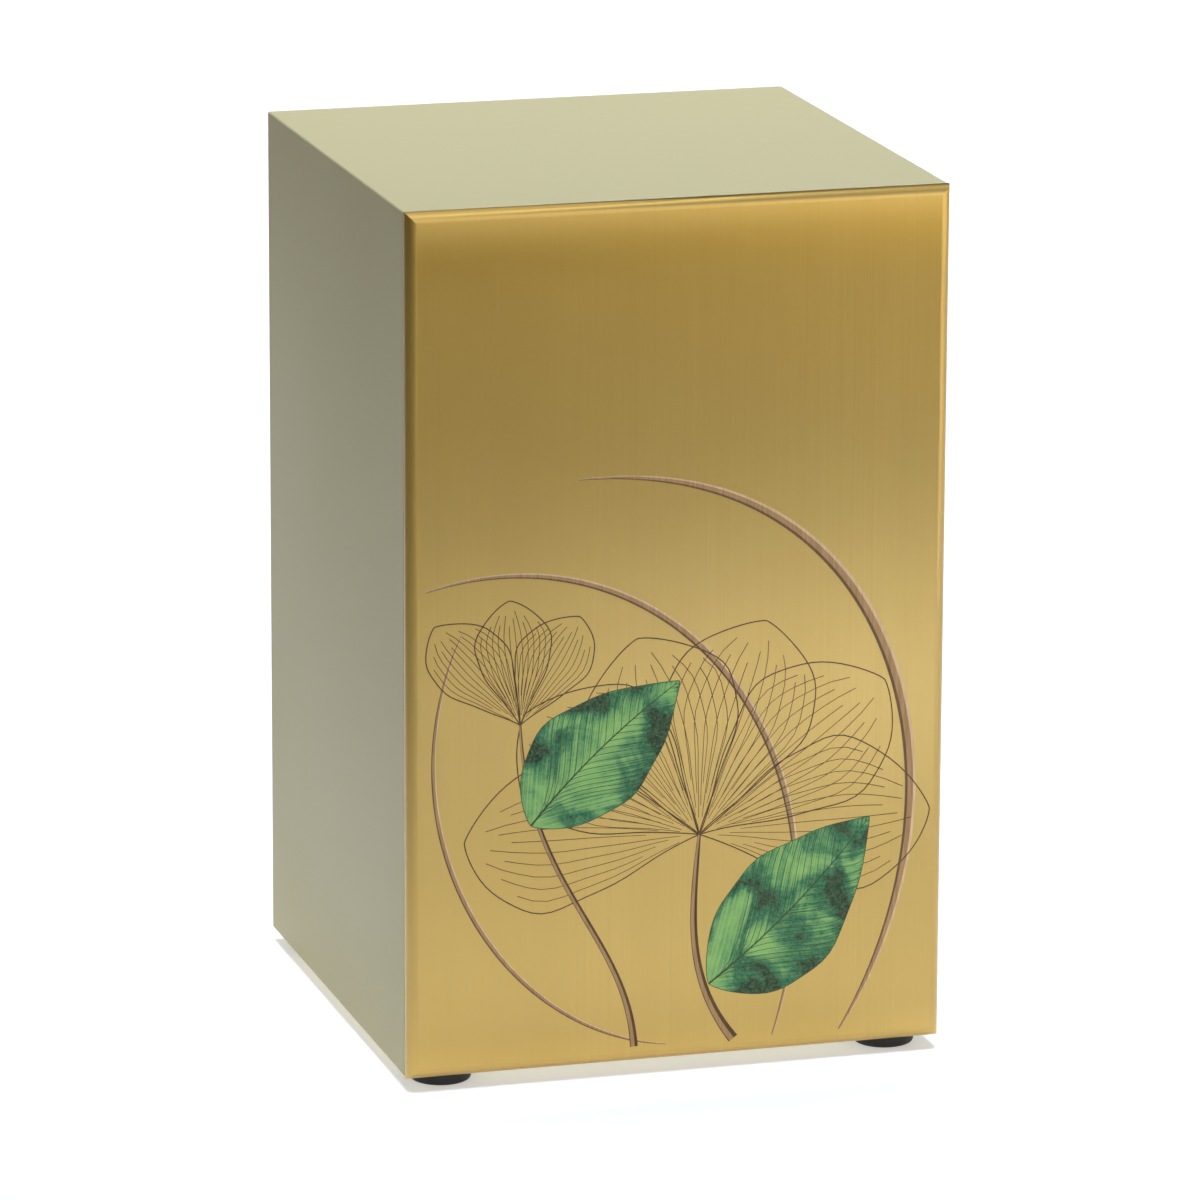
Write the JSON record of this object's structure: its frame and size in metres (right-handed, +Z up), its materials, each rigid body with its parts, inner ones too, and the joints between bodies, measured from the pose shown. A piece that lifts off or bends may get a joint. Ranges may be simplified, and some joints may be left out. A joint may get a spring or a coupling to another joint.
{
  "type": "cremation urn",
  "caption": "Upright square box urn with a brushed gold-coloured front panel, a lacquered body, a screwed hatch underneath and small round feet.",
  "frame": {"origin": "middle of the footprint, on the surface that the feet stand on", "axes": "+Z up, -Y towards the gold front panel, +X to the right seen from the front"},
  "size_m": [0.15, 0.15, 0.24],
  "materials": {
    "champagne_lacquer": "satin champagne metallic lacquer on fibreboard",
    "brushed_gold": "vertically brushed, gold-coloured, with a flat print",
    "painted_board": "matt painted fibreboard",
    "zinc_steel": "bright zinc plating",
    "black_rubber": "matt black"
  },
  "bodies": {
    "root": {"body": "champagne_lacquer", "front_panel": "brushed_gold", "hatch_plate": "painted_board", "hatch_screw_front_left": "zinc_steel", "hatch_screw_front_right": "zinc_steel", "hatch_screw_back_left": "zinc_steel", "hatch_screw_back_right": "zinc_steel", "foot_front_left": "black_rubber", "foot_front_right": "black_rubber", "foot_back_left": "black_rubber", "foot_back_right": "black_rubber"}
  },
  "joints": []
}
